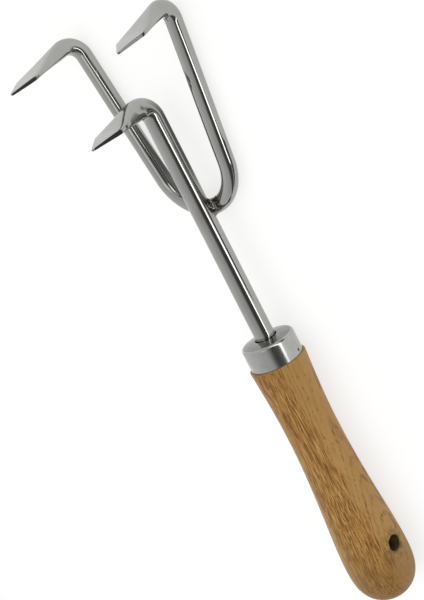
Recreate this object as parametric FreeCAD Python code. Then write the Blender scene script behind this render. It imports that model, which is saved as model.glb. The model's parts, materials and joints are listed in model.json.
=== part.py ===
import FreeCAD, Part
import math
import os

# Hand rake: three bent tines on a wooden grip. Lengths in millimetres, angles in degrees.
# +Y runs along the shaft towards the tines, +Z is the way the points stand, +X is to the side.
# Along-shaft dimensions are measured from the collar's rear edge, where wood meets steel.

# shaft with the centre tine
shaft_radius = 5.0
tang_length = 95.0
centre_corner_reach = 137.2
centre_bend_radius = 7.5
centre_lean = 7.5
centre_tine_height = 40.9
centre_blade_half_width = 9.9
centre_blade_half_thickness = 1.35
centre_point_length = 13.0

# side rod: a bow behind the shaft and one tine at each end
side_rod_radius = 4.0
side_rod_drop = 7.35
bow_reach = 79.2
bow_radius = 22.5
arm_splay = 8.8
side_corner_reach = 174.9
side_bend_radius = 8.0
side_lean = 10.9
side_toe_out = 6.8
side_tine_height = 44.4
side_blade_half_width = 8.8
side_blade_half_thickness = 1.15
side_point_length = 11.8

# tine points
point_half_thickness = 0.6
point_half_width = 0.5
blade_sections = 7
section_corners = 48
joint_blend = 0.002

# welds: a row of beads in the seam between bow and shaft
weld_bead_radii = (2.3, 3.0, 2.5)
weld_bead_spacing = 2.6
weld_seam_offset = 6.6
weld_seam_height = -3.0
weld_seam_reach = 81.4

# steel collar
collar_radius = 13.4
collar_length = 12.6
collar_dome = 0.8
collar_wall = 1.5
collar_edge_radius = 1.8
collar_hole_radius = 5.4
collar_pin_radius = 0.7
collar_pin_length = 4.0
collar_pin_reach = 2.0
collar_pin_angle = -15.0

# wooden grip
grip_length = 136.4
grip_lip_radius = 14.4
grip_lip_edge = 0.7
spigot_radius = collar_radius - collar_wall
spigot_length = collar_length - collar_dome - collar_wall
tang_bore_radius = 5.3
tang_bore_spare = 2.0
grip_max_radius = 16.8
hang_hole_radius = 4.0
hang_hole_reach = 106.0
# (distance behind the collar, radius) down the turned outline
grip_outline = (
    (0.7, grip_lip_radius),
    (6.7, 13.98),
    (16.7, 13.35),
    (26.8, 12.88),
    (38.0, 12.72),
    (49.8, 12.88),
    (60.1, 13.30),
    (70.5, 13.93),
    (81.0, 14.72),
    (91.5, 15.58),
    (102.1, 16.38),
    (111.0, grip_max_radius),
    (119.0, 16.60),
    (125.0, 15.55),
    (130.0, 13.15),
    (133.5, 9.70),
    (135.7, 5.20),
    (grip_length, 0.0),
)

# place of the whole tool: grip belly on Z = 0, middle of the overall length on Y = 0
head_reach = 178.2
shaft_height = grip_max_radius
collar_y = (grip_length - head_reach) / 2


def vec(x, y, z):
    return FreeCAD.Vector(x, y, z)


def place(x, reach, z):
    """Point given as side offset, distance from the collar's rear edge, height over the shaft axis."""
    return vec(x, collar_y + reach, shaft_height + z)


SIDEWAYS = vec(1, 0, 0)
FORWARD = vec(0, 1, 0)
UP = vec(0, 0, 1)


def straight_rod(start, end, radius):
    along = end - start
    return Part.makeCylinder(radius, along.Length, start, along)


def bent_rod(start, start_direction, end_direction, bend_radius, rod_radius):
    """Round rod leaving start along start_direction and turning into end_direction."""
    turn_axis = start_direction.cross(end_direction).normalize()
    inward = turn_axis.cross(start_direction)
    centre = start + inward * bend_radius
    disc = Part.Face(Part.Wire(Part.makeCircle(rod_radius, start, start_direction)))
    turn = math.degrees(start_direction.getAngle(end_direction))
    return disc.revolve(centre, turn_axis, turn)


def bend_setback(start_direction, end_direction, bend_radius):
    """Distance from a corner back to where the bend begins."""
    return bend_radius * math.tan(start_direction.getAngle(end_direction) / 2)


def tine_direction(lean, toe_out, side):
    """Unit vector from the bend to the point: leaning to the grip, splayed to one side."""
    lean_angle = math.radians(lean)
    splay = side * math.tan(math.radians(toe_out))
    return vec(splay, -math.sin(lean_angle), math.cos(lean_angle)).normalize()


def blade_section(centre, width_way, thick_way, half_width, half_thickness, squareness):
    """Closed smooth outline between a circle (squareness 2) and a flat bar."""
    power = 2.0 / squareness
    points = []
    for corner in range(section_corners):
        angle = 2 * math.pi * corner / section_corners
        across = math.copysign(abs(math.cos(angle)) ** power, math.cos(angle))
        through = math.copysign(abs(math.sin(angle)) ** power, math.sin(angle))
        points.append(centre + width_way * (half_width * across) + thick_way * (half_thickness * through))
    outline = Part.BSplineCurve()
    outline.interpolate(points, PeriodicFlag=True)
    return Part.Wire(outline.toShape())


def ease(share):
    """Smooth 0 to 1 step."""
    return share * share * (3 - 2 * share)


def forged_blade(root, direction, length, point_length, rod_radius, half_width, half_thickness):
    """Rod end hammered out to a flat flared blade, then trimmed to a point."""
    width_way = (SIDEWAYS - direction * SIDEWAYS.dot(direction)).normalize()
    thick_way = direction.cross(width_way)
    flare_length = length - point_length
    outlines = []
    for step in range(blade_sections):
        share = step / (blade_sections - 1)
        centre = root + direction * (flare_length * share)
        width = rod_radius + (half_width - rod_radius) * ease(share)
        thickness = rod_radius + (half_thickness - rod_radius) * (0.5 * share + 0.5 * ease(share))
        squareness = 2 + 2.5 * share
        outlines.append(blade_section(centre, width_way, thick_way, width, thickness, squareness))
    for share in (0.5, 1.05):
        centre = root + direction * (flare_length + point_length * share)
        thickness = half_thickness + (point_half_thickness - half_thickness) * share
        outlines.append(blade_section(centre, width_way, thick_way, half_width, thickness, 4.5))
    blade = Part.makeLoft(outlines, True, False)
    return blade.cut(point_trims(root, direction, width_way, thick_way, length, point_length, half_width))


def point_trims(root, direction, width_way, thick_way, length, point_length, half_width):
    """Two wedges and an end block whose removal leaves the pointed end."""
    tip = root + direction * length
    shoulder = root + direction * (length - point_length)
    beyond = tip + direction * point_length
    far_width = 3 * half_width
    depth = 4 * half_width
    trims = []
    for side in (-1, 1):
        corners = [
            shoulder + width_way * (side * half_width),
            tip + width_way * (side * point_half_width),
            beyond + width_way * (side * point_half_width),
            beyond + width_way * (side * far_width),
            shoulder + width_way * (side * far_width),
        ]
        face = Part.Face(Part.makePolygon(corners + [corners[0]]))
        face.translate(thick_way * (-depth / 2))
        trims.append(face.extrude(thick_way * depth))
    end_corners = [
        tip - width_way * far_width,
        tip + width_way * far_width,
        beyond + width_way * far_width,
        beyond - width_way * far_width,
    ]
    end_face = Part.Face(Part.makePolygon(end_corners + [end_corners[0]]))
    end_face.translate(thick_way * (-depth / 2))
    trims.append(end_face.extrude(thick_way * depth))
    return trims


def make_shaft():
    corner = place(0, centre_corner_reach, 0)
    up_tine = tine_direction(centre_lean, 0, 1)
    setback = bend_setback(FORWARD, up_tine, centre_bend_radius)
    bend_start = corner - FORWARD * setback
    blade_root = corner + up_tine * setback
    bar = straight_rod(place(0, -tang_length, 0), bend_start, shaft_radius)
    bend = bent_rod(bend_start, FORWARD, up_tine, centre_bend_radius, shaft_radius)
    blade = forged_blade(
        blade_root,
        up_tine,
        centre_tine_height - setback,
        centre_point_length,
        shaft_radius,
        centre_blade_half_width,
        centre_blade_half_thickness,
    )
    return bar.fuse([bend, blade], joint_blend).removeSplitter()


def arm_direction(side):
    splay = math.radians(arm_splay)
    return vec(side * math.sin(splay), math.cos(splay), 0)


def bow_end(side):
    """Where the bow runs out into the straight arm."""
    splay = math.radians(arm_splay)
    centre_reach = bow_reach + bow_radius
    return place(
        side * bow_radius * math.cos(splay),
        centre_reach - bow_radius * math.sin(splay),
        -side_rod_drop,
    )


def side_arm(side):
    """One straight arm with its bend and blade."""
    arm_start = bow_end(side)
    arm_way = arm_direction(side)
    reach_left = collar_y + side_corner_reach - arm_start.y
    corner = arm_start + arm_way * (reach_left / arm_way.y)
    up_tine = tine_direction(side_lean, side_toe_out, side)
    setback = bend_setback(arm_way, up_tine, side_bend_radius)
    bend_start = corner - arm_way * setback
    blade_root = corner + up_tine * setback
    arm = straight_rod(arm_start, bend_start, side_rod_radius)
    bend = bent_rod(bend_start, arm_way, up_tine, side_bend_radius, side_rod_radius)
    blade = forged_blade(
        blade_root,
        up_tine,
        side_tine_height - setback,
        side_point_length,
        side_rod_radius,
        side_blade_half_width,
        side_blade_half_thickness,
    )
    return [arm, bend, blade]


def make_side_rod(shaft):
    """Bow and both arms; the bow is sunk a little into the shaft, which leaves a saddle."""
    left_end = bow_end(-1)
    way_in = arm_direction(-1) * -1
    way_out = arm_direction(1)
    centre = place(0, bow_reach + bow_radius, -side_rod_drop)
    disc = Part.Face(Part.Wire(Part.makeCircle(side_rod_radius, left_end, way_in)))
    bow = disc.revolve(centre, UP, 180 - 2 * arm_splay)
    rod = bow.fuse(side_arm(-1) + side_arm(1), joint_blend).removeSplitter()
    return rod.cut(shaft)


def make_weld(side, shaft, side_rod):
    beads = []
    for number, radius in enumerate(weld_bead_radii):
        along = (number - 1) * weld_bead_spacing
        beads.append(Part.makeSphere(radius, place(side * weld_seam_offset, weld_seam_reach + along, weld_seam_height)))
    lump = beads[0].fuse(beads[1:])
    return largest_piece(lump.cut([shaft, side_rod]))


def largest_piece(shape):
    return max(shape.Solids, key=lambda solid: solid.Volume)


def turned(outline_edges):
    """Solid of revolution about the shaft axis."""
    profile = Part.Face(Part.Wire(outline_edges))
    return profile.revolve(place(0, 0, 0), FORWARD, 360)


def line(start, end):
    return Part.makeLine(start, end)


def make_collar():
    rim = collar_length - collar_dome
    edge = collar_edge_radius
    softened = edge * (1 - math.sqrt(0.5))
    front_arc = Part.Arc(
        place(collar_radius, rim - edge, 0),
        place(collar_radius - softened, rim - softened, 0),
        place(collar_radius - edge, rim, 0),
    ).toShape()
    dome_mid = place((collar_radius + collar_hole_radius) / 2, rim + 0.65 * collar_dome, 0)
    dome = Part.Arc(
        place(collar_radius - edge, rim, 0),
        dome_mid,
        place(collar_hole_radius, collar_length, 0),
    ).toShape()
    inner_front = place(collar_hole_radius, spigot_length, 0)
    inner_corner = place(spigot_radius, spigot_length, 0)
    inner_rear = place(spigot_radius, 0, 0)
    outer_rear = place(collar_radius, 0, 0)
    edges = [
        line(outer_rear, place(collar_radius, rim - edge, 0)),
        front_arc,
        dome,
        line(place(collar_hole_radius, collar_length, 0), inner_front),
        line(inner_front, inner_corner),
        line(inner_corner, inner_rear),
        line(inner_rear, outer_rear),
    ]
    return turned(edges)


def make_collar_pin():
    angle = math.radians(collar_pin_angle)
    outward = vec(math.cos(angle), 0, math.sin(angle))
    head = place(0, collar_pin_reach, 0) + outward * collar_radius
    return Part.makeCylinder(collar_pin_radius, collar_pin_length, head, outward * -1)


def make_grip(collar_pin):
    outline = Part.BSplineCurve()
    points = [place(radius, -behind, 0) for behind, radius in grip_outline]
    outline.interpolate(points)
    lip_top = points[0]
    softened = grip_lip_edge * (1 - math.sqrt(0.5))
    lip_arc = Part.Arc(
        place(grip_lip_radius - grip_lip_edge, 0, 0),
        place(grip_lip_radius - softened, -softened, 0),
        lip_top,
    ).toShape()
    spigot_front = place(spigot_radius, spigot_length, 0)
    edges = [
        line(place(0, -grip_length, 0), place(0, spigot_length, 0)),
        line(place(0, spigot_length, 0), spigot_front),
        line(spigot_front, place(spigot_radius, 0, 0)),
        line(place(spigot_radius, 0, 0), place(grip_lip_radius - grip_lip_edge, 0, 0)),
        lip_arc,
        outline.toShape(),
    ]
    body = turned(edges)
    bore_bottom = place(0, -tang_length - tang_bore_spare, 0)
    bore_length = tang_length + tang_bore_spare + spigot_length + 1
    tang_bore = Part.makeCylinder(tang_bore_radius, bore_length, bore_bottom, FORWARD)
    hole_start = place(-2 * grip_max_radius, -hang_hole_reach, 0)
    hang_hole = Part.makeCylinder(hang_hole_radius, 4 * grip_max_radius, hole_start, SIDEWAYS)
    return body.cut([tang_bore, hang_hole, collar_pin])


def make_adhesive(shaft):
    bottom = place(0, -tang_length - tang_bore_spare, 0)
    length = tang_length + tang_bore_spare + spigot_length
    sleeve = Part.makeCylinder(tang_bore_radius, length, bottom, FORWARD)
    return sleeve.cut(shaft)


def build_pieces():
    shaft = make_shaft()
    side_rod = make_side_rod(shaft)
    collar_pin = make_collar_pin()
    return {
        "shaft_and_centre_tine": shaft,
        "side_tine_rod": side_rod,
        "weld_left": make_weld(-1, shaft, side_rod),
        "weld_right": make_weld(1, shaft, side_rod),
        "ferrule": make_collar().cut(collar_pin),
        "ferrule_pin": collar_pin,
        "handle": make_grip(collar_pin),
        "tang_adhesive": make_adhesive(shaft),
    }


os.makedirs("parts", exist_ok=True)
whole = []
for name, piece in build_pieces().items():
    piece.exportStep("parts/" + name + ".step")
    whole.append(piece)
    print(name, "valid", piece.isValid(), "solids", len(piece.Solids), "volume", round(piece.Volume, 1))
box = Part.makeCompound(whole).BoundBox
print("box X", round(box.XMin, 2), round(box.XMax, 2))
print("box Y", round(box.YMin, 2), round(box.YMax, 2))
print("box Z", round(box.ZMin, 2), round(box.ZMax, 2))
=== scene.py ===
import bpy
import bmesh
import json
import math
from mathutils import Matrix, Vector, noise


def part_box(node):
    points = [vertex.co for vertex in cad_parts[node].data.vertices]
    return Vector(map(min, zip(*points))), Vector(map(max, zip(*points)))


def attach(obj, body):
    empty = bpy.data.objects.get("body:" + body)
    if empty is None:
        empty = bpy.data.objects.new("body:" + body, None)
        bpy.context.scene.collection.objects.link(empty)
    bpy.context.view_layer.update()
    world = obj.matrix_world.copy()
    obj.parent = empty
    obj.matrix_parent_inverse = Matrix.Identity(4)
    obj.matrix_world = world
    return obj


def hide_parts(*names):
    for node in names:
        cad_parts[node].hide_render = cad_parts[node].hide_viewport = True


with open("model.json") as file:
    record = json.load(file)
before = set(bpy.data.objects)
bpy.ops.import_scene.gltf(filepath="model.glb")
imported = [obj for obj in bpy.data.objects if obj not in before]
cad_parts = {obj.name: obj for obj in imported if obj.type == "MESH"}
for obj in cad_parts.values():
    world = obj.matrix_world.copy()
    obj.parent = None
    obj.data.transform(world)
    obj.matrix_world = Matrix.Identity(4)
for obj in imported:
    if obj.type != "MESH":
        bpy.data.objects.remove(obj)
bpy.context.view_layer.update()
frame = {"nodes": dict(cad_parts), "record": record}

MM = 0.001
SIDEWAYS = Vector((1, 0, 0))
FORWARD = Vector((0, 1, 0))
UP = Vector((0, 0, 1))
LEFT, RIGHT = -1, 1

# ------------------------------------------------------------ dimensions (mm, as in the CAD model)
shaft_radius = 5.0
tang_length = 95.0
centre_corner_reach = 137.2
centre_bend_radius = 7.5
centre_lean = 7.5
centre_tine_height = 40.9

side_rod_radius = 4.0
side_rod_drop = 7.35
bow_reach = 79.2
bow_radius = 22.5
arm_splay = 8.8
side_corner_reach = 174.9
side_bend_radius = 8.0
side_lean = 10.9
side_toe_out = 6.8
side_tine_height = 44.4

# the ground flanks slant towards the back by tilt, bulge by crown and end in a small chamfer
centre_blade = {"half_width": 9.9, "half_thickness": 1.35, "point_length": 13.0,
                "tilt": 0.45, "crown": 0.06, "chamfer": 0.07}
side_blade = {"half_width": 8.8, "half_thickness": 1.15, "point_length": 11.8}
left_blade = dict(side_blade, tilt=0.0, crown=0.06, chamfer=0.04)
right_blade = dict(side_blade, tilt=0.55, crown=0.0, chamfer=0.01)
point_half_thickness = 0.55
point_half_width = 0.75
point_nose = 0.6

collar_radius = 13.4
collar_length = 12.6
collar_dome = 0.8
collar_wall = 1.5
collar_edge_radius = 1.8
collar_hole_radius = 5.4
collar_pin_radius = 0.7
collar_pin_reach = 2.0
collar_pin_angle = -15.0
spigot_radius = collar_radius - collar_wall
spigot_length = collar_length - collar_dome - collar_wall

grip_length = 136.4
grip_lip_radius = 14.4
grip_lip_edge = 0.7
grip_half_at_hole = 16.55
tang_bore_radius = 5.3
tang_bore_spare = 2.0
hang_hole_radius = 4.0
# distance behind the collar's rear edge, and radius there
grip_outline = (
    (0.7, grip_lip_radius), (6.7, 13.98), (16.7, 13.35), (26.8, 12.88), (38.0, 12.72),
    (49.8, 12.88), (60.1, 13.30), (70.5, 13.93), (81.0, 14.72), (91.5, 15.58), (102.1, 16.38),
    (111.0, 16.8), (119.0, 16.60), (125.0, 15.55), (130.0, 13.15), (133.5, 9.70), (135.7, 5.20),
    (grip_length, 0.0),
)

# where the belly of the grip and the backs of the side arms touch the floor
belly_reach = -113.0
heel_reach = 166.0

# where the tool sits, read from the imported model
collar_low, collar_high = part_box("ferrule")
shaft_height = (collar_low.z + collar_high.z) / 2 / MM
collar_y = collar_low.y / MM
hang_hole = next(m for m in frame["record"]["mounts"] if m["name"] == "hang_hole")
hang_hole_reach = collar_y - hang_hole["pos_m"][1] / MM


def place(x, reach, z):
    """Point from side offset, distance from the collar's rear edge and height over the shaft."""
    return Vector((x, collar_y + reach, shaft_height + z))


def lerp(a, b, share):
    return a + (b - a) * share


def ease(share):
    return share * share * (3 - 2 * share)


# ------------------------------------------------------------ mesh helpers
def shade_smooth(mesh, smooth_angle):
    """Smooth shading, with creases at edges sharper than smooth_angle."""
    for polygon in mesh.polygons:
        polygon.use_smooth = True
    mesh.set_sharp_from_angle(angle=math.radians(smooth_angle))


def new_object(name, bm, smooth_angle=35.0):
    """Turns a bmesh in millimetres into a smooth-shaded object in metres."""
    bmesh.ops.recalc_face_normals(bm, faces=bm.faces)
    bmesh.ops.scale(bm, vec=(MM, MM, MM), verts=bm.verts)
    mesh = bpy.data.meshes.new(name)
    bm.to_mesh(mesh)
    bm.free()
    shade_smooth(mesh, smooth_angle)
    obj = bpy.data.objects.new(name, mesh)
    bpy.context.scene.collection.objects.link(obj)
    return obj


def capped_object(name, bm, rings):
    """Solid through equal rings of vertices, closed at both ends."""
    for a, b in zip(rings, rings[1:]):
        count = len(a)
        for i in range(count):
            j = (i + 1) % count
            bm.faces.new((a[i], a[j], b[j], b[i]))
    bm.faces.new(rings[0])
    bm.faces.new(rings[-1])
    return new_object(name, bm)


def cut(obj, cutter, smooth_angle=35.0):
    """Exact boolean difference, applied, with the cutter removed."""
    modifier = obj.modifiers.new("cut", "BOOLEAN")
    modifier.operation = "DIFFERENCE"
    modifier.solver = "EXACT"
    modifier.object = cutter
    bpy.context.view_layer.update()
    depsgraph = bpy.context.evaluated_depsgraph_get()
    mesh = bpy.data.meshes.new_from_object(obj.evaluated_get(depsgraph))
    uncut = obj.data
    obj.modifiers.clear()
    obj.data = mesh
    bpy.data.meshes.remove(uncut)
    bpy.data.objects.remove(cutter)
    shade_smooth(mesh, smooth_angle)


def mark_faces(obj, material_index, chosen):
    """Gives another material to the faces whose centre is chosen."""
    for polygon in obj.data.polygons:
        if chosen(polygon.center):
            polygon.material_index = material_index


# ------------------------------------------------------------ steel bars
RING_POINTS = 96
TRIM_ANGLE = 0.27
TRIM_INSET = 0.972
DEEPEST_TRIM = 0.7
BLADE_SQUARENESS = 4.5
SHAFT_STEPS = 60
BOW_STEPS = 36
ARM_STEPS = 34
BEND_STEPS = 30
FLARE_STEPS = 34
POINT_STEPS = 18
NOSE_STEPS = 5
NOSE_FLAT = 0.6
GRIND_STEP = 0.10


def ring_angles():
    return [2 * math.pi * (i + 0.5) / RING_POINTS for i in range(RING_POINTS)]


def on_flank(angle):
    return abs(math.sin(angle)) < math.sin(TRIM_ANGLE)


def smooth_section(half_width, half_thickness, squareness):
    """Closed outline between a circle (squareness 2) and a flat bar with rounded flanks."""
    power = 2.0 / squareness
    points = []
    for angle in ring_angles():
        across = math.copysign(abs(math.cos(angle)) ** power, math.cos(angle))
        through = math.copysign(abs(math.sin(angle)) ** power, math.sin(angle))
        points.append((half_width * across, half_thickness * through))
    return points


def trimmed_section(blade, trimmed_width, half_thickness):
    """The flat bar with both flanks ground off at trimmed_width."""
    half_width = blade["half_width"]

    def height_at(across):
        share = min(abs(across) / half_width, 0.999)
        return half_thickness * (1 - share ** BLADE_SQUARENESS) ** (1 / BLADE_SQUARENESS)

    edge_height = height_at(trimmed_width)
    chamfer = min(blade["chamfer"], 0.3 * edge_height)
    deepest = DEEPEST_TRIM * trimmed_width
    points = []
    for angle in ring_angles():
        side = math.copysign(1, math.cos(angle))
        over = math.copysign(1, math.sin(angle))
        if on_flank(angle):
            rise = over * math.asin(abs(math.sin(angle))) / TRIM_ANGLE
            depth = edge_height * (blade["tilt"] * (1 - rise) + blade["crown"] * rise * rise)
            across = side * (trimmed_width - min(depth, deepest))
            points.append((across, rise * (edge_height - chamfer)))
        else:
            depth = edge_height * (blade["tilt"] * (1 - over) + blade["crown"])
            corner = trimmed_width - min(depth, deepest) - chamfer
            across = corner * math.cos(angle) / math.cos(TRIM_ANGLE)
            points.append((across, over * height_at(across)))
    return points


def add_ring(bm, centre, width_way, thick_way, section):
    return [bm.verts.new(centre + width_way * x + thick_way * y) for x, y in section]


def blade_rings(bm, root, direction, length, rod_radius, blade, width_way):
    """Rings of a rod end hammered flat and flared, then ground to a point with a round nose."""
    thick_way = direction.cross(width_way)
    half_width = blade["half_width"]
    half_thickness = blade["half_thickness"]
    point_length = blade["point_length"] - point_nose
    flare_length = length - blade["point_length"]
    rings = []
    for step in range(1, FLARE_STEPS + 1):
        share = step / FLARE_STEPS
        centre = root + direction * (flare_length * share)
        width = lerp(rod_radius, half_width, ease(share))
        thickness = lerp(rod_radius, half_thickness, 0.5 * share + 0.5 * ease(share))
        section = smooth_section(width, thickness, lerp(2, BLADE_SQUARENESS, share))
        rings.append(add_ring(bm, centre, width_way, thick_way, section))
    for step in range(POINT_STEPS + 1):
        share = step / POINT_STEPS
        # the first ground ring stands just off the last flared one
        past_flare = point_length * share + (GRIND_STEP if step == 0 else 0)
        centre = root + direction * (flare_length + past_flare)
        thickness = lerp(half_thickness, point_half_thickness, share)
        trimmed = lerp(half_width * TRIM_INSET, point_half_width, share)
        section = trimmed_section(blade, trimmed, thickness)
        rings.append(add_ring(bm, centre, width_way, thick_way, section))
    for step in range(1, NOSE_STEPS + 1):
        angle = math.pi / 2 * step / (NOSE_STEPS + NOSE_FLAT)
        tip = root + direction * (length - point_nose + point_nose * math.sin(angle))
        nose = [(x * math.cos(angle), y * math.cos(angle)) for x, y in section]
        rings.append(add_ring(bm, tip, width_way, thick_way, nose))
    return rings


def skin_bar(bm, rings):
    """Quads between the rings; the ground flanks of the point take the second material."""
    flank = [on_flank(angle) for angle in ring_angles()]
    first_ground = len(rings) - (POINT_STEPS + 1 + NOSE_STEPS)
    for number, (a, b) in enumerate(zip(rings, rings[1:])):
        for i in range(RING_POINTS):
            j = (i + 1) % RING_POINTS
            face = bm.faces.new((a[i], a[j], b[j], b[i]))
            if number >= first_ground and flank[i] and flank[j]:
                face.material_index = 1


def tine_direction(lean, toe_out):
    lean_angle = math.radians(lean)
    splay = math.tan(math.radians(toe_out))
    return Vector((splay, -math.sin(lean_angle), math.cos(lean_angle))).normalized()


def bend_frames(start, way, end_way, bend_radius, width_way):
    """Centres and directions through a bend; the section's width direction turns with it."""
    axis = way.cross(end_way).normalized()
    centre = start + axis.cross(way) * bend_radius
    turn = way.angle(end_way)
    frames = []
    for step in range(BEND_STEPS + 1):
        turned = Matrix.Rotation(turn * step / BEND_STEPS, 3, axis)
        frames.append((centre + turned @ (start - centre), turned @ way, turned @ width_way))
    return frames


def twist_towards(width_way, target, tangent, share):
    """Turns width_way part of the way round tangent towards target."""
    flat_target = (target - tangent * target.dot(tangent)).normalized()
    angle = math.atan2(width_way.cross(flat_target).dot(tangent), width_way.dot(flat_target))
    return Matrix.Rotation(angle * share, 3, tangent) @ width_way


def tine_rings(bm, frames, rod_radius, blade, height):
    """Rings through the bend, where the width turns to lie sideways, and the blade after it."""
    rings = []
    circle = smooth_section(rod_radius, rod_radius, 2)
    last = len(frames) - 1
    for number, (centre, way, width_way) in enumerate(frames):
        width_way = twist_towards(width_way, SIDEWAYS, way, ease(number / last))
        rings.append(add_ring(bm, centre, width_way, way.cross(width_way), circle))
    root = frames[-1][0]
    return rings + blade_rings(bm, root, way, height, rod_radius, blade, width_way)


def build_centre_tine():
    """The shaft from the end of its tang, the bend at the tip and the centre tine."""
    bm = bmesh.new()
    corner = place(0, centre_corner_reach, 0)
    up_tine = tine_direction(centre_lean, 0)
    setback = centre_bend_radius * math.tan(FORWARD.angle(up_tine) / 2)
    bend_start = corner - FORWARD * setback
    circle = smooth_section(shaft_radius, shaft_radius, 2)
    rings = []
    start = place(0, -tang_length, 0)
    for step in range(SHAFT_STEPS):
        centre = start.lerp(bend_start, step / SHAFT_STEPS)
        rings.append(add_ring(bm, centre, SIDEWAYS, FORWARD.cross(SIDEWAYS), circle))
    frames = bend_frames(bend_start, FORWARD, up_tine, centre_bend_radius, SIDEWAYS)
    rings += tine_rings(bm, frames, shaft_radius, centre_blade, centre_tine_height - setback)
    skin_bar(bm, rings)
    bm.faces.new(rings[0])
    bm.faces.new(rings[-1])
    return new_object("centre_tine_bar", bm)


def half_side_rod(bm, blade):
    """The right half of the bow, its arm and its tine, open where the halves meet."""
    splay = math.radians(arm_splay)
    circle = smooth_section(side_rod_radius, side_rod_radius, 2)
    bow_centre = place(0, bow_reach + bow_radius, -side_rod_drop)
    rings = []
    for step in range(BOW_STEPS + 1):
        angle = (math.pi / 2 - splay) * step / BOW_STEPS
        outward = Vector((math.sin(angle), -math.cos(angle), 0))
        arm_way = Vector((math.cos(angle), math.sin(angle), 0))
        arm_start = bow_centre + outward * bow_radius
        rings.append(add_ring(bm, arm_start, outward, arm_way.cross(outward), circle))
    reach_left = collar_y + side_corner_reach - arm_start.y
    corner = arm_start + arm_way * (reach_left / arm_way.y)
    up_tine = tine_direction(side_lean, side_toe_out)
    setback = side_bend_radius * math.tan(arm_way.angle(up_tine) / 2)
    bend_start = corner - arm_way * setback
    for step in range(1, ARM_STEPS):
        centre = arm_start.lerp(bend_start, step / ARM_STEPS)
        rings.append(add_ring(bm, centre, outward, arm_way.cross(outward), circle))
    frames = bend_frames(bend_start, arm_way, up_tine, side_bend_radius, outward)
    rings += tine_rings(bm, frames, side_rod_radius, blade, side_tine_height - setback)
    skin_bar(bm, rings)
    bm.faces.new(rings[-1])


def build_side_rod():
    """The left half is built as a right one and mirrored; the two halves join in the bow."""
    bm = bmesh.new()
    half_side_rod(bm, left_blade)
    bmesh.ops.scale(bm, vec=(-1, 1, 1), verts=bm.verts)
    half_side_rod(bm, right_blade)
    bmesh.ops.remove_doubles(bm, verts=bm.verts, dist=0.001)
    return new_object("side_tine_rod_bar", bm)


# ------------------------------------------------------------ turned parts
LATHE_POINTS = 160
CURVE_STEPS = 9
GRIP_WOBBLE = 0.12
WOBBLE_ROUND = 0.9
WOBBLE_ALONG = 0.02
HOLE_POINTS = 96
PIN_POINTS = 32


def lathe(name, profile, wobble=0.0, closed=False):
    """Solid of revolution about the shaft axis from (reach, radius) points."""
    bm = bmesh.new()
    rings = []
    for reach, radius in profile:
        if radius < 1e-6:
            rings.append([bm.verts.new(place(0, reach, 0))])
            continue
        ring = []
        for i in range(LATHE_POINTS):
            angle = 2 * math.pi * i / LATHE_POINTS
            spot = Vector((math.cos(angle) * WOBBLE_ROUND, reach * WOBBLE_ALONG,
                           math.sin(angle) * WOBBLE_ROUND))
            uneven = radius + wobble * noise.noise(spot)
            x, z = uneven * math.cos(angle), uneven * math.sin(angle)
            ring.append(bm.verts.new(place(x, reach, z)))
        rings.append(ring)
    pairs = list(zip(rings, rings[1:]))
    if closed:
        pairs.append((rings[-1], rings[0]))
    for a, b in pairs:
        for i in range(LATHE_POINTS):
            j = (i + 1) % LATHE_POINTS
            if len(a) == 1:
                bm.faces.new((a[0], b[j], b[i]))
            elif len(b) == 1:
                bm.faces.new((a[i], a[j], b[0]))
            else:
                bm.faces.new((a[i], a[j], b[j], b[i]))
    return new_object(name, bm)


def smooth_curve(points):
    """Catmull-Rom curve through the points."""
    padded = [points[0]] + list(points) + [points[-1]]
    curve = []
    for k in range(1, len(padded) - 2):
        p0, p1, p2, p3 = (Vector(p) for p in padded[k - 1:k + 3])
        for step in range(CURVE_STEPS):
            t = step / CURVE_STEPS
            curve.append(0.5 * (2 * p1 + (p2 - p0) * t + (2 * p0 - 5 * p1 + 4 * p2 - p3) * t * t
                                + (3 * p1 - p0 - 3 * p2 + p3) * t ** 3))
    curve.append(Vector(points[-1]))
    return curve


def rounded_edge(reach, radius, edge_radius, steps):
    """Quarter round about (reach, radius), from the outside surface over to the front face."""
    angles = [math.radians(lerp(90, 0, i / steps)) for i in range(steps + 1)]
    return [(reach + edge_radius * math.cos(angle), radius + edge_radius * math.sin(angle))
            for angle in angles]


def hole_cutter():
    """Bar across the grip for the hanging hole, flared at both mouths, with chipped rims."""
    clear_of_grip = 24.0
    clear_flare = 6.0
    mouth_flare = 0.8
    mouth_edge = 0.22
    chips_round = 2.2
    chip_depth = 1.5
    unchipped = 0.1
    half = grip_half_at_hole
    stations = (
        (-clear_of_grip, hang_hole_radius + clear_flare),
        (-half - 0.2, hang_hole_radius + mouth_flare),
        (-half + 0.35, hang_hole_radius + mouth_edge),
        (-half + 1.0, hang_hole_radius),
        (half - 1.0, hang_hole_radius),
        (half - 0.35, hang_hole_radius + mouth_edge),
        (half + 0.2, hang_hole_radius + mouth_flare),
        (clear_of_grip, hang_hole_radius + clear_flare),
    )
    bm = bmesh.new()
    rings = []
    for x, radius in stations:
        ring = []
        for i in range(HOLE_POINTS):
            angle = 2 * math.pi * i / HOLE_POINTS
            spot = Vector((chips_round * math.cos(angle), x, chips_round * math.sin(angle)))
            chipped = max(0.0, noise.noise(spot) - unchipped)
            worn = radius + (chip_depth * chipped if radius > hang_hole_radius else 0.0)
            reach = -hang_hole_reach + worn * math.cos(angle)
            ring.append(bm.verts.new(place(x, reach, worn * math.sin(angle))))
        rings.append(ring)
    return capped_object("hole_cutter", bm, rings)


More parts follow.
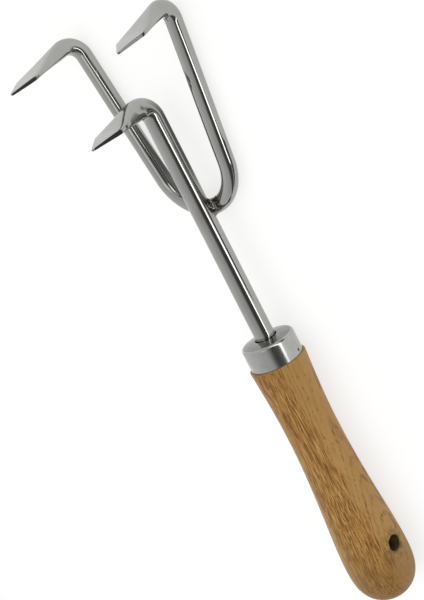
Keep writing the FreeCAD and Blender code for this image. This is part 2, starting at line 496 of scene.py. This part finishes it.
def build_grip():
    """The turned handle: its spigot inside the collar, the bore for the tang, the hanging hole."""
    curve = smooth_curve([(-behind, radius) for behind, radius in grip_outline])
    butt_to_lip = [(p.x, max(p.y, 0.0)) for p in reversed(curve)]
    butt_to_lip[0] = (-grip_length, 0.0)
    lip = rounded_edge(-grip_lip_edge, grip_lip_radius - grip_lip_edge, grip_lip_edge, 6)[1:]
    bore_bottom = -tang_length - tang_bore_spare
    inside = [
        (0.0, spigot_radius),
        (spigot_length, spigot_radius),
        (spigot_length, tang_bore_radius),
        (bore_bottom, tang_bore_radius),
        (bore_bottom, 0.0),
    ]
    grip = lathe("grip", butt_to_lip + lip + inside, wobble=GRIP_WOBBLE)
    cut(grip, hole_cutter(), 30.0)
    axis = place(0, -hang_hole_reach, 0) * MM
    wall = (hang_hole_radius + 0.05) * MM

    def in_hole(centre):
        from_axis = math.hypot(centre.y - axis.y, centre.z - axis.z)
        return from_axis < wall and abs(centre.x) < grip_half_at_hole * MM

    # painted shade: the faces inside the hanging hole take the near-black hole material
    mark_faces(grip, 1, in_hole)
    return grip


def pin_rings(bm, stations):
    """Rings round the pin's axis from (distance from the shaft axis, radius) stations."""
    turn = math.radians(collar_pin_angle)
    outward = Vector((math.cos(turn), 0, math.sin(turn)))
    side_way = outward.cross(FORWARD)
    angles = [2 * math.pi * i / PIN_POINTS for i in range(PIN_POINTS)]
    rings = []
    for distance, radius in stations:
        centre = place(0, collar_pin_reach, 0) + outward * distance
        section = [(radius * math.cos(angle), radius * math.sin(angle)) for angle in angles]
        rings.append(add_ring(bm, centre, FORWARD, side_way, section))
    return rings


def build_collar():
    """The domed cap over the grip's spigot, with a rounded edge, a shaft hole and a pin hole."""
    rim = collar_length - collar_dome
    edge = collar_edge_radius
    rear_edge = 0.12
    hole_edge = 0.3
    hole_edge_depth = 0.4
    wall_steps = 6
    dome_steps = 12
    dome_rise = collar_dome - 0.1
    profile = [(0.0, collar_radius - rear_edge), (rear_edge, collar_radius)]
    profile += [(lerp(rear_edge, rim - edge, i / wall_steps), collar_radius)
                for i in range(1, wall_steps)]
    profile += rounded_edge(rim - edge, collar_radius - edge, edge, 10)
    for i in range(1, dome_steps + 1):
        share = i / dome_steps
        radius = lerp(collar_radius - edge, collar_hole_radius + hole_edge, share)
        profile.append((rim + dome_rise * math.sin(share * math.pi / 2), radius))
    profile += [
        (collar_length - hole_edge_depth, collar_hole_radius),
        (spigot_length, collar_hole_radius),
        (spigot_length, spigot_radius),
        (0.0, spigot_radius),
    ]
    collar = lathe("collar", profile, closed=True)

    pin_gap = 0.12
    bm = bmesh.new()
    ends = (collar_radius - 1.0, collar_radius + 1.0)
    rings = pin_rings(bm, [(end, collar_pin_radius + pin_gap) for end in ends])
    cut(collar, capped_object("pin_cutter", bm, rings))

    face_start = place(0, rim - 0.15, 0).y * MM
    wall = (collar_hole_radius + 0.2) * MM
    # painted shade: the front face takes material 2, a darker copy of the collar steel that stands
    # in for a dark reflection there
    mark_faces(collar, 2, lambda centre: centre.y > face_start)
    # painted shade: the faces round the shaft hole take the near-black hole material, so the gap
    # round the shaft reads dark
    mark_faces(collar, 1,
               lambda centre: math.hypot(centre.x, centre.z - shaft_height * MM) < wall)
    return collar


def build_pin():
    """Pin with a slightly rounded head just under the collar's surface."""
    bm = bmesh.new()
    depths_and_shares = ((4.0, 1.0), (0.22, 1.0), (0.12, 0.8), (0.08, 0.35))
    rings = pin_rings(bm, [(collar_radius - depth, collar_pin_radius * share)
                           for depth, share in depths_and_shares])
    return capped_object("collar_pin", bm, rings)


# ------------------------------------------------------------ welds
WELD_CELL = 0.3
WELD_GRID = (39, 48, 32)
WELD_GRID_LOW = {LEFT: (-12.5, 74.6, -9.5), RIGHT: (1.0, 74.6, -9.5)}
WELD_CENTRE = (6.6, 81.6, -3.4)
WELD_HALF_SIZE = (4.4, 5.6, 4.2)
WELD_BLEND = 5.2
WELD_SHRINK = 0.06
LUMP_HEIGHT = 0.62
LUMP_FREQUENCY = 0.36
GRAIN_HEIGHT = 0.10
GRAIN_FREQUENCY = 1.3
RIPPLE_HEIGHT = 0.10
# where the lumps fade and the skin sinks in, in half sizes from the weld's centre
LUMPS_FADE_FROM = 0.55
LUMPS_FADE_OVER = 0.6
SINK_FROM = 0.72
# mm for each half size
SINK_RATE = 0.9


def weld_field(side, spot, seed):
    """Signed distance to a fillet between the shaft and the bow; away from the seam it sinks in."""
    x, y, z = side * spot.x, spot.y, spot.z
    to_shaft = math.hypot(x, z) - shaft_radius
    from_bow_centre = math.hypot(x, y - bow_reach - bow_radius)
    to_bow = math.hypot(from_bow_centre - bow_radius, z + side_rod_drop) - side_rod_radius
    near = max(WELD_BLEND - abs(to_shaft - to_bow), 0) / WELD_BLEND
    joined = min(to_shaft, to_bow) - near * near * WELD_BLEND / 4
    offsets = zip((x, y, z), WELD_CENTRE, WELD_HALF_SIZE)
    reach = math.sqrt(sum(((p - centre) / half) ** 2 for p, centre, half in offsets))
    lumps = LUMP_HEIGHT * noise.noise(spot * LUMP_FREQUENCY + Vector((seed, 0, 0)))
    lumps += GRAIN_HEIGHT * noise.noise(spot * GRAIN_FREQUENCY)
    ripple = RIPPLE_HEIGHT * math.sin(2.0 * y + 0.9 * x + 2.0 * noise.noise(spot * 0.3))
    fade = max(0.0, 1.0 - max(0.0, reach - LUMPS_FADE_FROM) / LUMPS_FADE_OVER)
    sink = SINK_RATE * max(0.0, reach - SINK_FROM)
    return joined + WELD_SHRINK + (lumps + ripple) * fade + sink


def sample_weld(low, side, seed):
    """The field on a grid that ends inside the bars, where the skin is closed."""
    field = {}
    for i in range(WELD_GRID[0]):
        for j in range(WELD_GRID[1]):
            for k in range(WELD_GRID[2]):
                value = weld_field(side, low + Vector((i, j, k)) * WELD_CELL, seed)
                at_end = any(n in (0, count - 1) for n, count in zip((i, j, k), WELD_GRID))
                field[i, j, k] = max(value, 0.1) if at_end else value
    return field


def build_weld(name, side, seed):
    """Lumpy fillet of weld metal in the seam between the bow and the shaft."""
    low = Vector(WELD_GRID_LOW[side])
    field = sample_weld(low, side, seed)
    corners = [(a, b, c) for a in (0, 1) for b in (0, 1) for c in (0, 1)]
    cell_edges = [(p, q) for p in corners for q in corners
                  if p < q and sum(abs(m - n) for m, n in zip(p, q)) == 1]
    bm = bmesh.new()
    # a vertex in each cell that the surface crosses
    cells = {}
    for i in range(WELD_GRID[0] - 1):
        for j in range(WELD_GRID[1] - 1):
            for k in range(WELD_GRID[2] - 1):
                crossings = []
                for p, q in cell_edges:
                    at_p = field[i + p[0], j + p[1], k + p[2]]
                    at_q = field[i + q[0], j + q[1], k + q[2]]
                    if (at_p < 0) != (at_q < 0):
                        crossings.append(Vector(p).lerp(Vector(q), at_p / (at_p - at_q)))
                if crossings:
                    middle = sum(crossings, Vector()) / len(crossings)
                    spot = low + (Vector((i, j, k)) + middle) * WELD_CELL
                    cells[i, j, k] = bm.verts.new(place(*spot))
    # a face across each grid line that the surface crosses
    x_step, y_step, z_step = (1, 0, 0), (0, 1, 0), (0, 0, 1)
    turns = ((x_step, y_step, z_step), (y_step, z_step, x_step), (z_step, x_step, y_step))
    for (i, j, k), value in field.items():
        for step, across, over in turns:
            other = field.get((i + step[0], j + step[1], k + step[2]))
            if other is None or (value < 0) == (other < 0):
                continue
            around = []
            for m, n in ((0, 0), (1, 0), (1, 1), (0, 1)):
                around.append(cells.get(tuple(
                    base - m * a - n * o for base, a, o in zip((i, j, k), across, over)
                )))
            if None not in around:
                bm.faces.new(around)
    bmesh.ops.smooth_vert(bm, verts=bm.verts, factor=0.5,
                          use_axis_x=True, use_axis_y=True, use_axis_z=True)
    return new_object(name, bm, 180.0)


# ------------------------------------------------------------ materials
class NodeTree:
    """Short way to write a node tree."""

    def __init__(self, tree):
        self.tree = tree

    def add(self, kind, inputs=(), **settings):
        node = self.tree.nodes.new(kind)
        for key, value in settings.items():
            setattr(node, key, value)
        for key, value in dict(inputs).items():
            self.feed(node, key, value)
        return node

    def feed(self, node, key, value):
        socket = node.inputs[key]
        if isinstance(value, bpy.types.NodeSocket):
            self.tree.links.new(value, socket)
        else:
            socket.default_value = value

    def remap(self, value, low, high, to_low=0.0, to_high=1.0, smooth=False):
        node = self.add("ShaderNodeMapRange", {
            "Value": value, "From Min": low, "From Max": high, "To Min": to_low, "To Max": to_high,
        })
        if smooth:
            node.interpolation_type = "SMOOTHSTEP"
        return node.outputs["Result"]

    def math(self, operation, a, b=0.0):
        return self.add("ShaderNodeMath", {0: a, 1: b}, operation=operation).outputs[0]

    def plus(self, a, b):
        return self.math("ADD", a, b)

    def times(self, a, b):
        return self.math("MULTIPLY", a, b)


class Material(NodeTree):
    """A procedural material, patterned in object coordinates."""

    def __init__(self, name):
        self.material = bpy.data.materials.new(name)
        self.material.use_nodes = True
        super().__init__(self.material.node_tree)
        self.shader = self.tree.nodes["Principled BSDF"]

    def shade(self, key, value):
        """Sets or links an input of the shader itself."""
        self.feed(self.shader, key, value)

    def coords(self, scale=(1, 1, 1), shift=(0, 0, 0)):
        """Object coordinates in units of 1 mm / scale."""
        return self.add("ShaderNodeMapping", {
            "Vector": self.add("ShaderNodeTexCoord").outputs["Object"],
            "Location": shift,
            "Scale": tuple(s / MM for s in scale),
        }).outputs["Vector"]

    def noise(self, scale, shift=(0, 0, 0), detail=2.0, roughness=0.5, distortion=0.0):
        return self.add("ShaderNodeTexNoise", {
            "Vector": self.coords(scale, shift), "Scale": 1.0, "Detail": detail,
            "Roughness": roughness, "Distortion": distortion,
        }).outputs["Fac"]

    def mix(self, share, a, b):
        return self.add("ShaderNodeMix", {0: share, 6: a, 7: b}, data_type="RGBA").outputs[2]

    def mottled(self, pattern, dark, light):
        """Colour between dark and light over the middle of a noise pattern."""
        return self.mix(self.remap(pattern, 0.3, 0.7), dark, light)

    def bump(self, height, strength, distance):
        self.shade("Normal", self.add("ShaderNodeBump", {
            "Height": height, "Strength": strength, "Distance": distance,
        }).outputs["Normal"])


def polished_steel():
    """Polished bar with faint scratches along it and a heat tint round the welds."""
    n = Material("polished_bar")
    bright = (0.385, 0.385, 0.37, 1)
    dull = tuple(channel * 0.90 for channel in bright[:3]) + (1,)
    heat_tint = (0.19, 0.16, 0.11, 1)
    scratches = n.noise((1.2, 0.06, 1.2), detail=4.0, roughness=0.6)
    cloud = n.noise((0.09, 0.05, 0.09), detail=3.0)
    from_seam = n.add("ShaderNodeVectorMath", {0: n.coords(), 1: place(0, bow_reach + 3.0, -4.0)},
                      operation="DISTANCE").outputs["Value"]
    tinted = n.remap(n.plus(from_seam, n.times(cloud, 8.0)), 9.5, 14.5, 0.45, 0.0, True)
    n.shade("Metallic", 1.0)
    n.shade("Base Color", n.mix(tinted, n.mottled(cloud, dull, bright), heat_tint))
    n.shade("Roughness", n.remap(n.times(scratches, cloud), 0.12, 0.4, 0.04, 0.10))
    n.bump(scratches, 0.04, 0.00002)
    return n.material


def weld_steel():
    """Lumpy weld metal, dark in the hollows and browned in patches."""
    n = Material("weld_metal")
    lumps = n.noise((0.35, 0.35, 0.35), detail=3.0)
    browning = n.remap(n.noise((0.12, 0.12, 0.12), (4, 2, 9)), 0.5, 0.7, 0.0, 0.5)
    metal = n.mottled(lumps, (0.06, 0.054, 0.044, 1), (0.24, 0.23, 0.21, 1))
    n.shade("Metallic", 1.0)
    n.shade("Base Color", n.mix(browning, metal, (0.16, 0.11, 0.06, 1)))
    n.shade("Roughness", n.remap(lumps, 0.3, 0.7, 0.08, 0.16))
    n.bump(lumps, 0.25, 0.0003)
    return n.material


def ground_steel():
    """Bare ground facets at the points, with fine lines along them."""
    n = Material("ground_facets")
    lines = n.noise((2.0, 2.0, 0.25), detail=3.0, roughness=0.6)
    n.shade("Metallic", 1.0)
    n.shade("Base Color", n.mottled(lines, (0.21, 0.22, 0.215, 1), (0.28, 0.29, 0.285, 1)))
    n.shade("Roughness", n.remap(lines, 0.3, 0.7, 0.06, 0.12))
    n.bump(lines, 0.06, 0.00002)
    return n.material


def collar_steel(name, dark, light, roughness):
    """Turned steel with very fine marks round it."""
    n = Material(name)
    turning = n.noise((0.05, 9.0, 0.05), detail=3.0, roughness=0.6)
    cloud = n.noise((0.2, 0.2, 0.2), detail=3.0)
    n.shade("Metallic", 1.0)
    n.shade("Anisotropic", 0.3)
    n.shade("Base Color", n.mottled(cloud, dark, light))
    n.shade("Roughness", n.remap(turning, 0.3, 0.7, *roughness))
    n.bump(turning, 0.012, 0.00002)
    return n.material


WOOD_BROWN = (0.335, 0.178, 0.045, 1)
WOOD_GOLD = (0.375, 0.208, 0.060, 1)
WOOD_FIGURE = (0.340, 0.162, 0.027, 1)
# painted highlight on the far side of the grip
WOOD_FAR_SIDE_SHEEN = (0.43, 0.27, 0.085, 1)
WOOD_EARLY = (0.19, 0.082, 0.012, 1)
WOOD_PALE_STREAK = (0.50, 0.30, 0.095, 1)
WOOD_DARK_STREAK = (0.145, 0.056, 0.005, 1)
WOOD_THIN_STREAK = (0.135, 0.052, 0.004, 1)
WOOD_PORE = (0.09, 0.036, 0.008, 1)
# painted shade towards the end of the grip
WOOD_BUTT_SHADE = (0.14, 0.075, 0.020, 1)
WOOD_DIRT = (0.13, 0.068, 0.022, 1)
RING_SPACING = 1.35


def grip_wood():
    """Oiled hardwood: growth layers edge-on from above, face-on from the sides, and long pores."""
    n = Material("oiled_hardwood")
    split = n.add("ShaderNodeSeparateXYZ", {"Vector": n.coords(shift=(0, 0, -shaft_height))})
    x, y, z = (split.outputs[axis] for axis in "XYZ")

    # growth layers of uneven strength, darkest soon after each begins
    layer = n.plus(n.times(x, 0.98), n.times(z, -0.17))
    warp = n.noise((0.05, 0.022, 0.05))
    layer = n.plus(layer, n.plus(n.times(y, -0.05), n.times(warp, 3.5)))
    count = n.math("DIVIDE", layer, RING_SPACING)
    ring = n.math("FRACT", count)
    strength = n.add("ShaderNodeTexWhiteNoise", {"W": n.math("FLOOR", count)},
                     noise_dimensions="1D").outputs["Value"]
    early = n.math("MINIMUM", n.remap(ring, 0.0, 0.12), n.remap(ring, 0.14, 0.48, 1.0, 0.0, True))
    early = n.times(early, n.remap(strength, 0.0, 1.0, 0.35, 1.0))

    # the dense, darker figure fills the middle layers and thins out towards both sides
    sway = n.remap(n.noise((0.1, 0.04, 0.1), (8, 3, 5), 3.0), 0.3, 0.7, -0.6, 4.6)
    depth = n.plus(n.plus(x, n.times(y, 0.04)), sway)
    dense = n.times(n.remap(depth, 9.6, 11.8, 1.0, 0.0, True),
                    n.remap(depth, -10.5, -4.0, 0.35, 1.0, True))
    # painted highlight: the far side of the grip is lightened, standing in for rim light from the
    # bright surroundings
    far_side_sheen = n.remap(n.plus(depth, n.times(y, -0.03)), -1.0, -7.0, 0.0, 1.0, True)

    def by_figure(plain, figured):
        """Strength of a marking outside and inside the dense figure."""
        return n.remap(dense, 0.0, 1.0, plain, figured)

    # streaks and pores drawn out along the grain
    streak = n.remap(n.noise((1.6, 0.055, 1.6), (0, 4, 2), 3.0, 0.6, 0.1), 0.54, 0.61)
    thin_noise = n.noise((2.4, 0.095, 2.4), (7, 1, 3), 2.0, 0.55, 0.1)
    thin = n.remap(thin_noise, 0.54, 0.61)
    pale = n.remap(thin_noise, 0.47, 0.38)
    pore_noise = n.noise((2.0, 0.30, 2.0), (2, 5, 8), 2.0, 0.5, 0.3)
    pores = n.remap(n.plus(pore_noise, n.times(early, 0.13)), 0.655, 0.70)

    # painted shade darkens the wood towards the end of the grip; dirt round the hanging hole
    butt_shade = n.remap(y, collar_y - 98.0, collar_y - 122.0, 0.0, 0.42, True)
    across_hole = n.coords((0, 1, 1), (0, hang_hole_reach - collar_y, -shaft_height))
    from_hole = n.add("ShaderNodeVectorMath", {0: across_hole}, operation="LENGTH").outputs["Value"]
    patches = n.remap(n.noise((0.35, 0.35, 0.35), (1, 6, 4), 3.0, 0.6), 0.42, 0.62)
    dirt = n.times(n.remap(from_hole, 4.2, 11.0, 0.8, 0.0, True), patches)

    colour = n.mottled(n.noise((0.07, 0.012, 0.07), (5, 1, 2), 3.0), WOOD_BROWN, WOOD_GOLD)
    for share, marking in (
        (n.times(dense, 0.85), WOOD_FIGURE),
        (far_side_sheen, WOOD_FAR_SIDE_SHEEN),
        (n.times(early, by_figure(0.30, 0.60)), WOOD_EARLY),
        (n.times(pale, by_figure(0.12, 0.65)), WOOD_PALE_STREAK),
        (n.times(streak, by_figure(0.10, 0.85)), WOOD_DARK_STREAK),
        (n.times(thin, by_figure(0.12, 0.85)), WOOD_THIN_STREAK),
        (n.times(pores, 0.66), WOOD_PORE),
        (butt_shade, WOOD_BUTT_SHADE),
        (dirt, WOOD_DIRT),
    ):
        colour = n.mix(share, colour, marking)
    n.shade("Base Color", colour)
    n.shade("Roughness", n.remap(pores, 0.0, 1.0, 0.5, 0.75))
    n.shade("Specular IOR Level", 0.3)
    n.bump(n.plus(n.times(pores, -1.0), n.times(streak, -0.35)), 0.35, 0.0002)
    return n.material


def painted_hole_shade():
    """Painted shade: near-black brown inside the hanging hole and in the shadowed gap round the
    shaft.
    """
    n = Material("painted_hole_shade")
    patches = n.noise((0.5, 0.5, 0.5), detail=3.0)
    n.shade("Base Color", n.mottled(patches, (0.030, 0.020, 0.008, 1), (0.085, 0.056, 0.018, 1)))
    n.shade("Roughness", n.remap(patches, 0.3, 0.7, 0.6, 0.9))
    n.shade("Specular IOR Level", 0.2)
    return n.material


def glue():
    """Dark brown set glue round the tang."""
    n = Material("set_glue")
    speck = n.noise((1, 1, 1), detail=3.0)
    n.shade("Base Color", n.mix(speck, (0.05, 0.035, 0.02, 1), (0.12, 0.08, 0.04, 1)))
    n.shade("Roughness", n.remap(speck, 0.3, 0.7, 0.4, 0.7))
    return n.material


def pale_floor():
    """Pale matt sheet that glows, so that the shadows on it stay light."""
    n = Material("pale_floor")
    speck = n.noise((0.01, 0.01, 0.01))
    n.shade("Base Color", n.mix(speck, (0.27, 0.27, 0.268, 1), (0.29, 0.29, 0.288, 1)))
    n.shade("Emission Color", (1.0, 1.0, 0.995, 1))
    n.shade("Emission Strength", 0.72)
    n.shade("Roughness", 0.9)
    n.shade("Specular IOR Level", 0.1)
    return n.material


# ------------------------------------------------------------ camera, floor and light
CAMERA_SPOT = (531.99, 224.38, 460.21)
CAMERA_RIGHT = Vector((0.65670, -0.44326, -0.61013))
CAMERA_UP = Vector((0.11951, 0.85998, -0.49614))
FLOOR_SIZE = 3000.0
FLOOR_GAP = 0.2
# height and slope of the painted shadow cards that lie along the floor
SHADOW_CARD_HEIGHT_AT_BELLY = -15.9
SHADOW_CARD_SLOPE = 0.0195
STUDIO_STRENGTH = 3.0
# angle round the tool's long axis, 0 at +X and 90 straight up, and how bright the studio is there
STUDIO_LEVELS = (
    (-180, 0.90), (-30, 0.90), (-8, 0.80), (-2, 0.35), (3, 0.14), (18, 0.12), (36, 0.08),
    (44, 0.10), (50, 0.24), (56, 0.38), (66, 0.64), (95, 0.72), (120, 0.84), (150, 0.92),
    (180, 0.90),
)


def build_camera():
    """Looks down at the tips from the side, rolled so that the tines point up and to the left."""
    data = bpy.data.cameras.new("camera")
    data.sensor_fit = "VERTICAL"
    data.sensor_height = 36.0
    data.lens = 93.2
    data.clip_start = 0.05
    camera = bpy.data.objects.new("camera", data)
    back = CAMERA_RIGHT.cross(CAMERA_UP)
    turned = Matrix((CAMERA_RIGHT, CAMERA_UP, back)).transposed().to_4x4()
    camera.matrix_world = Matrix.Translation(place(*CAMERA_SPOT) * MM) @ turned
    bpy.context.scene.collection.objects.link(camera)
    bpy.context.scene.camera = camera


def build_floor():
    """Large sheet that the belly of the grip and the backs of the side arms rest on."""
    belly = place(0, belly_reach, 0).y * MM
    heel = place(0, heel_reach, 0).y * MM
    heel_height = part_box("side_tine_rod")[0].z
    slope = math.atan2(heel_height, heel - belly)
    bm = bmesh.new()
    bmesh.ops.create_grid(bm, x_segments=8, y_segments=8, size=FLOOR_SIZE)
    floor = new_object("floor", bm)
    under_belly = Matrix.Translation((0, belly, -FLOOR_GAP * MM))
    floor.matrix_world = under_belly @ Matrix.Rotation(slope, 4, "X")
    floor.data.materials.append(pale_floor())


def area_light(name, spot, target, size, power):
    """Soft light, placed in metres, that no surface reflects as a shape."""
    data = bpy.data.lights.new(name, "AREA")
    data.shape = "RECTANGLE"
    data.size, data.size_y = size
    data.energy = power
    light = bpy.data.objects.new(name, data)
    way = (Vector(target) - Vector(spot)).to_track_quat("-Z", "Y")
    light.matrix_world = Matrix.Translation(spot) @ way.to_matrix().to_4x4()
    bpy.context.scene.collection.objects.link(light)
    light.visible_glossy = False


def light_card(name, corners, level, end_level=None):
    """Glowing card that only shows in reflections; it can fade to end_level at its ends."""
    bm = bmesh.new()
    bm.faces.new([bm.verts.new(corner) for corner in corners])
    card = new_object(name, bm)
    n = Material(name)
    n.tree.nodes.remove(n.shader)
    strength = level
    if end_level is not None:
        spot = n.add("ShaderNodeTexCoord").outputs["Generated"]
        along = n.add("ShaderNodeSeparateXYZ", {"Vector": spot}).outputs["Y"]
        from_middle = n.math("ABSOLUTE", n.math("SUBTRACT", along, 0.5))
        strength = n.remap(from_middle, 0.15, 0.5, level, end_level, True)
    glow = n.add("ShaderNodeEmission", {"Color": (1.0, 0.99, 0.97, 1), "Strength": strength})
    n.tree.links.new(glow.outputs[0], n.tree.nodes["Material Output"].inputs["Surface"])
    card.data.materials.append(n.material)
    card.visible_camera = False
    card.visible_diffuse = False
    card.visible_shadow = False


def lying_card(name, sides, reaches, height_at, level, end_level=None):
    """Card lying between two side offsets and two reaches."""
    (left, right), (start, end) = sides, reaches
    corners = ((left, start), (right, start), (right, end), (left, end))
    light_card(name, [place(x, reach, height_at(reach)) for x, reach in corners], level, end_level)


def shadow_card_height(reach):
    """Height of the cards that lie along the floor, the painted shadow cards among them."""
    return SHADOW_CARD_HEIGHT_AT_BELLY + SHADOW_CARD_SLOPE * (reach - belly_reach)


def build_studio():
    """World glow, bright all round but for a dark gap over the right-hand horizon."""
    world = bpy.data.worlds.new("studio")
    bpy.context.scene.world = world
    world.use_nodes = True
    n = NodeTree(world.node_tree)
    way = n.add("ShaderNodeTexCoord").outputs["Generated"]
    split = n.add("ShaderNodeSeparateXYZ", {"Vector": way}).outputs
    round_angle = n.math("DEGREES", n.math("ARCTAN2", split["Z"], split["X"]))
    turn = n.math("DIVIDE", n.plus(round_angle, 180.0), 360.0)
    ramp = n.add("ShaderNodeValToRGB", {0: turn})
    ramp.color_ramp.interpolation = "LINEAR"
    elements = ramp.color_ramp.elements
    while len(elements) > 1:
        elements.remove(elements[-1])
    elements[0].position = 0.0
    for angle, _ in STUDIO_LEVELS[1:]:
        elements.new((angle + 180) / 360)
    for element, (_, level) in zip(elements, STUDIO_LEVELS):
        element.color = (level / STUDIO_STRENGTH,) * 3 + (1,)
    # the gap closes towards the tips
    ahead = n.remap(split["Y"], 0.32, 0.46, 0.0, 0.2)
    background = n.tree.nodes["Background"]
    n.feed(background, "Color", n.math("MAXIMUM", ramp.outputs[0], ahead))
    n.feed(background, "Strength", STUDIO_STRENGTH)


def build_light():
    """Soft studio light, cards that draw bright lines along the bars, and grey cards that paint the
    tool's shadow on the floor into the bars' reflections as dark lines.
    """
    build_studio()
    # a long tapering card beside the head, rising towards the tips, gives the bright line
    near, far = Vector((69, 199, 88)), Vector((500, -163, -17))
    near_half, far_half = UP * 7, UP * 60
    light_card("side_card", [place(*(near - near_half)), place(*(far - far_half)),
                             place(*(far + far_half)), place(*(near + near_half))], 4.0)
    lying_card("top_card", sides=(20, 200), reaches=(260, 90), height_at=lambda reach: 480,
               level=1.3)
    # painted shadow: grey cards right of the shaft and under the head stand in for the tool's
    # shadow on the floor and give the second dark line in the bars' reflections
    lying_card("shaft_shadow_card", sides=(34, 110), reaches=(22, 104), height_at=shadow_card_height,
               level=0.10)
    lying_card("head_shadow_card", sides=(-20, 15), reaches=(80, 148), height_at=shadow_card_height,
               level=0.20, end_level=1.0)
    area_light("overhead", spot=(0.1, 0.0, 1.6), target=(0, 0, 0), size=(2.6, 2.6), power=12.0)
    area_light("side_fill", spot=(1.2, -0.1, 0.8), target=(0, -0.05, 0), size=(1.6, 1.2),
               power=9.0)


# ------------------------------------------------------------ assembly
build_camera()
build_floor()
build_light()

bar_steel = polished_steel()
facet_steel = ground_steel()
weld_metal = weld_steel()
# painted shade for the inside of the hanging hole and the gap round the shaft
hole_shade = painted_hole_shade()
collar_wall_steel = collar_steel("satin_collar", dark=(0.38, 0.38, 0.37, 1),
                                 light=(0.44, 0.435, 0.42, 1), roughness=(0.17, 0.21))
# painted shade: a darker copy of the same turned steel for the collar's front face, standing in for
# a dark reflection there
collar_face_painted_dark_steel = collar_steel("collar_face_painted_shade", dark=(0.20, 0.20, 0.19, 1),
                                 light=(0.25, 0.25, 0.24, 1), roughness=(0.10, 0.16))
# each piece with the CAD node it stands for, its slot, and its materials by material index
pieces = (
    (build_centre_tine(), "shaft_and_centre_tine", "polished_steel", (bar_steel, facet_steel)),
    (build_side_rod(), "side_tine_rod", "polished_rod_steel", (bar_steel, facet_steel)),
    (build_weld("weld_bead_left", LEFT, 4), "weld_left", "weld_steel", (weld_metal,)),
    (build_weld("weld_bead_right", RIGHT, 9), "weld_right", "weld_steel", (weld_metal,)),
    (build_collar(), "ferrule", "collar_steel", (collar_wall_steel, hole_shade, collar_face_painted_dark_steel)),
    (build_pin(), "ferrule_pin", "pin_steel", (weld_metal,)),
    (build_grip(), "handle", "grip_wood", (grip_wood(), hole_shade)),
)
for piece, node, slot, materials in pieces:
    for material in materials:
        piece.data.materials.append(material)
    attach(piece, "root")
    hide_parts(node)

# the glue sleeve keeps its CAD shape
adhesive = frame["nodes"]["tang_adhesive"]
adhesive.data.materials.clear()
adhesive.data.materials.append(glue())

bpy.context.scene.view_settings.view_transform = "Standard"
bpy.context.scene.view_settings.look = "None"
